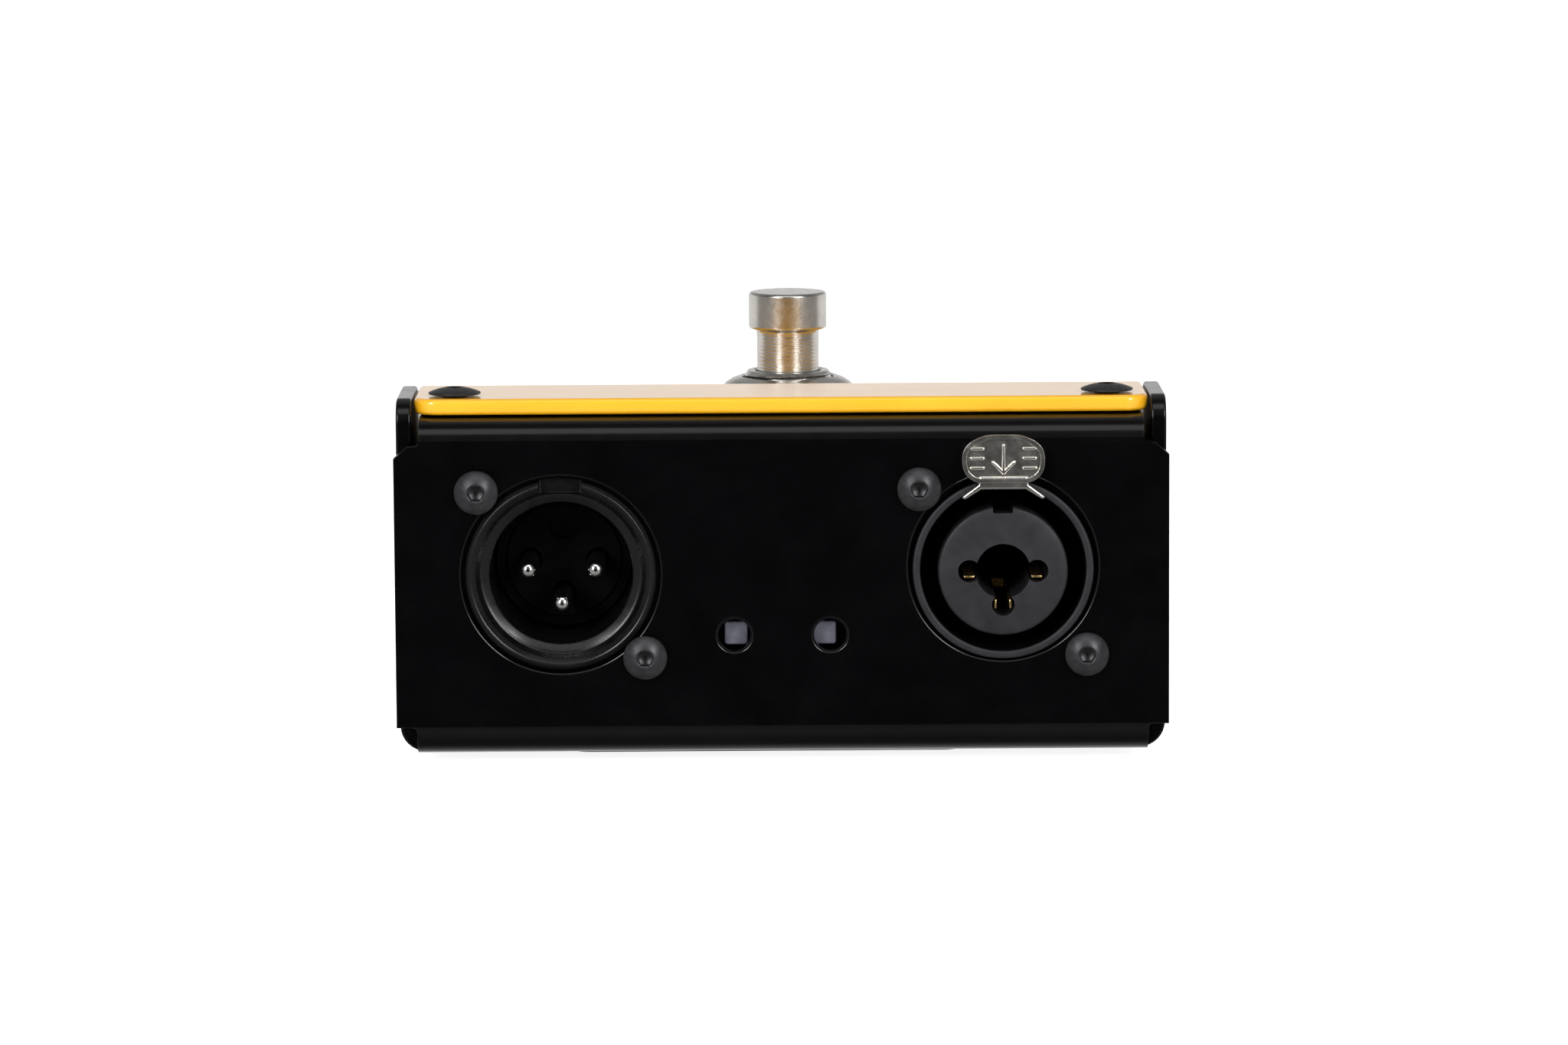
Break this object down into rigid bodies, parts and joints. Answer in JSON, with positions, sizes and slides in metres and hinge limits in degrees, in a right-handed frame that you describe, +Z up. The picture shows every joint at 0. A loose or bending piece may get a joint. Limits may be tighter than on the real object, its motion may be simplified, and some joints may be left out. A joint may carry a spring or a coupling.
{
  "type": "direct injection box",
  "caption": "Stomp-style direct injection box: folded black steel case, yellow stepped top plate, XLR output, XLR and jack input with push latch, indicator lamps and a footswitch.",
  "frame": {"origin": "centre of the whole box's footprint, on the surface it stands on (underside of the pad)", "axes": "+Z up, -Y out of the connector panel towards the viewer, +X to the right as the connectors are faced"},
  "size_m": [0.0952, 0.1018, 0.0507],
  "materials": {
    "powder_coat": "fine textured powder coat, black",
    "yellow_enamel": "glossy yellow enamel",
    "black_screw": "black oxide, satin",
    "plated_steel": "zinc plated",
    "black_nylon": "moulded, slight sheen",
    "rubber_pad": "matt non-slip",
    "nickel": "warm nickel plate",
    "silver_contact": "silver plate",
    "brass_contact": "gold-flashed brass",
    "board": "solder resist on glass-epoxy",
    "lamp_lens": "milky diffused lens",
    "winding": "taped copper winding",
    "core_steel": "laminated, varnished",
    "capacitor_sleeve": "shrink sleeve",
    "wire_cover": "PVC insulation",
    "switch_case": "moulded",
    "header": "natural nylon"
  },
  "bodies": {
    "box": {"amplifier_chip_1": "black_nylon", "amplifier_chip_2": "black_nylon", "board_screw_1": "plated_steel", "board_screw_2": "plated_steel", "board_screw_3": "plated_steel", "board_screw_4": "plated_steel", "board_standoff_1": "brass_contact", "board_standoff_2": "brass_contact", "board_standoff_3": "brass_contact", "board_standoff_4": "brass_contact", "bottom_pad": "rubber_pad", "capacitor_1": "capacitor_sleeve", "capacitor_2": "capacitor_sleeve", "chassis": "powder_coat", "circuit_board": "board", "input_contact_1": "brass_contact", "input_contact_2": "brass_contact", "input_contact_3": "brass_contact", "input_housing": "black_nylon", "input_insert": "black_nylon", "input_screw_1": "black_screw", "input_screw_2": "black_screw", "jack_ground_spring": "brass_contact", "jack_tip_spring": "brass_contact", "lamp_holder": "black_nylon", "lamp_left": "lamp_lens", "lamp_right": "lamp_lens", "latch_spring": "plated_steel", "output_insert": "black_nylon", "output_pin_1": "silver_contact", "output_pin_2": "silver_contact", "output_pin_3": "silver_contact", "output_screw_1": "black_screw", "output_screw_2": "black_screw", "output_shell": "black_nylon", "plate_nut_1": "plated_steel", "plate_nut_2": "plated_steel", "plate_nut_3": "plated_steel", "plate_nut_4": "plated_steel", "plate_screw_1": "black_screw", "plate_screw_2": "black_screw", "plate_screw_3": "black_screw", "plate_screw_4": "black_screw", "switch_body": "switch_case", "switch_bushing": "nickel", "switch_nut": "nickel", "switch_spring": "plated_steel", "switch_terminal_1": "silver_contact", "switch_terminal_2": "silver_contact", "switch_terminal_3": "silver_contact", "switch_washer": "nickel", "switch_wire_1": "wire_cover", "switch_wire_2": "wire_cover", "switch_wire_3": "wire_cover", "top_plate": "yellow_enamel", "transformer_bobbin": "winding", "transformer_core": "core_steel", "wire_header": "header"},
    "footswitch": {"switch_plunger": "nickel"},
    "latch": {"input_latch": "nickel"}
  },
  "joints": [
    {"name": "footswitch_press", "type": "slide", "parent": "box", "child": "footswitch", "axis": [0, 0, -1], "range_m": [0, 0.0035], "stiffness_N_per_m": 2000, "springref_m": -0.002, "deforming": ["switch_spring"]},
    {"name": "latch_press", "type": "hinge", "parent": "box", "child": "latch", "pos_m": [0.0272, -0.04825, 0.0342], "axis": [-1, 0, 0], "range_deg": [0, 7], "stiffness_Nm_per_rad": 0.12, "springref_deg": -2.86}
  ]
}
